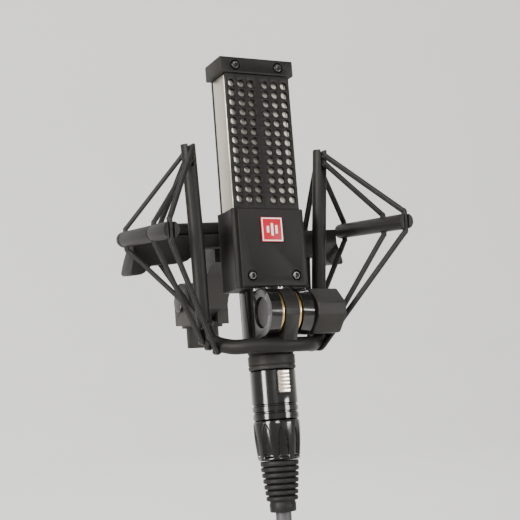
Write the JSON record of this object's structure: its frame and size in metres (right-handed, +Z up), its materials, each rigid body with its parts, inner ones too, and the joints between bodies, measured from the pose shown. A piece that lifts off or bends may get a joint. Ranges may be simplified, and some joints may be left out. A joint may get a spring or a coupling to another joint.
{
  "type": "ribbon microphone in shock mount",
  "caption": "Side-address ribbon microphone with perforated faces, held in an elastic suspension mount with a stand swivel, lead plugged in and coiled.",
  "frame": {"origin": "centre of the lower face of the stand socket, on the socket axis", "axes": "+Z up along the stand socket, -Y is the front that the microphone faces, +X to the right seen from the front"},
  "size_m": [0.1114, 0.1095, 0.4273],
  "materials": {
    "matt_black": "matte",
    "gloss_black": "gloss",
    "rod_black": "matte",
    "cast_black": "matte",
    "knob_grey": "matte",
    "brushed_panel": "satin",
    "mesh_silver": "satin",
    "brass": "polished",
    "steel": "polished",
    "rubber_black": "matte",
    "braided_elastic": "matte",
    "emblem_red": "gloss",
    "magnet_nickel": "polished",
    "ribbon_foil": "satin",
    "insert_black": "satin",
    "lead_grey": "satin"
  },
  "bodies": {
    "stand": {"stand_adapter": "cast_black", "swivel_bolt": "steel"},
    "outer_frame": {"swivel_arm": "cast_black", "cross_beam": "cast_black", "rail_left": "rod_black", "rail_right": "rod_black", "elastic_left_1": "braided_elastic", "elastic_left_2": "braided_elastic", "elastic_left_3": "braided_elastic", "elastic_left_4": "braided_elastic", "elastic_right_1": "braided_elastic", "elastic_right_2": "braided_elastic", "elastic_right_3": "braided_elastic", "elastic_right_4": "braided_elastic"},
    "cradle": {"cradle_frame": "rod_black", "washer_left": "brass", "washer_right": "brass"},
    "microphone": {"top_cap": "matt_black", "front_grille": "matt_black", "rear_grille": "matt_black", "side_panel_left": "brushed_panel", "side_panel_right": "brushed_panel", "front_mesh": "mesh_silver", "rear_mesh": "mesh_silver", "lower_block": "matt_black", "block_plate_front": "matt_black", "block_plate_rear": "matt_black", "emblem": "emblem_red", "cap_screw_front_left": "steel", "cap_screw_front_right": "steel", "cap_screw_rear_left": "steel", "cap_screw_rear_right": "steel", "block_screw_front_left": "steel", "block_screw_front_right": "steel", "block_screw_rear_left": "steel", "block_screw_rear_right": "steel", "magnet_left": "magnet_nickel", "magnet_right": "magnet_nickel", "motor_frame": "steel", "ribbon": "ribbon_foil", "ribbon_clamp_top": "brass", "ribbon_clamp_bottom": "brass", "transformer": "magnet_nickel", "stem": "gloss_black", "tilt_bolt": "steel", "collar": "cast_black", "socket_insert": "insert_black"},
    "knob": {"thumb_knob": "knob_grey"},
    "plug": {"plug_shell": "gloss_black", "plug_insert": "insert_black", "plug_chuck": "gloss_black", "plug_boot": "rubber_black", "cable_run": "lead_grey", "cable_coil": "lead_grey", "cable_tail": "lead_grey", "coil_tie": "rubber_black", "far_boot": "rubber_black", "far_plug": "gloss_black"},
    "latch": {"latch_button": "steel"}
  },
  "joints": [
    {"name": "stand_hinge", "type": "hinge", "parent": "stand", "child": "outer_frame", "pos_m": [0, 0, 0.0214], "axis": [1, 0, 0], "range_deg": [-45, 25]},
    {"name": "suspension_travel", "type": "slide", "parent": "outer_frame", "child": "cradle", "axis": [0, 0, 1], "range_m": [-0.004, 0.004], "stiffness_N_per_m": 4000, "springref_m": 0.00158, "deforming": ["elastic_left_1", "elastic_left_2", "elastic_left_3", "elastic_left_4", "elastic_right_1", "elastic_right_2", "elastic_right_3", "elastic_right_4"]},
    {"name": "mic_tilt", "type": "hinge", "parent": "cradle", "child": "microphone", "pos_m": [0.00081, -0.0823, 0.01526], "axis": [0.999, 0, -0.0436], "range_deg": [-8, 20]},
    {"name": "knob_turn", "type": "hinge", "parent": "microphone", "child": "knob", "pos_m": [0.00081, -0.0823, 0.01526], "axis": [0.999, 0, -0.0436], "continuous": true},
    {"name": "plug_pull", "type": "slide", "parent": "microphone", "child": "plug", "axis": [-0.0433, -0.1163, -0.9923], "range_m": [0, 0.014]},
    {"name": "latch_press", "type": "slide", "parent": "plug", "child": "latch", "axis": [-0.0051, 0.9932, -0.1162], "range_m": [0, 0.0012], "stiffness_N_per_m": 400}
  ]
}
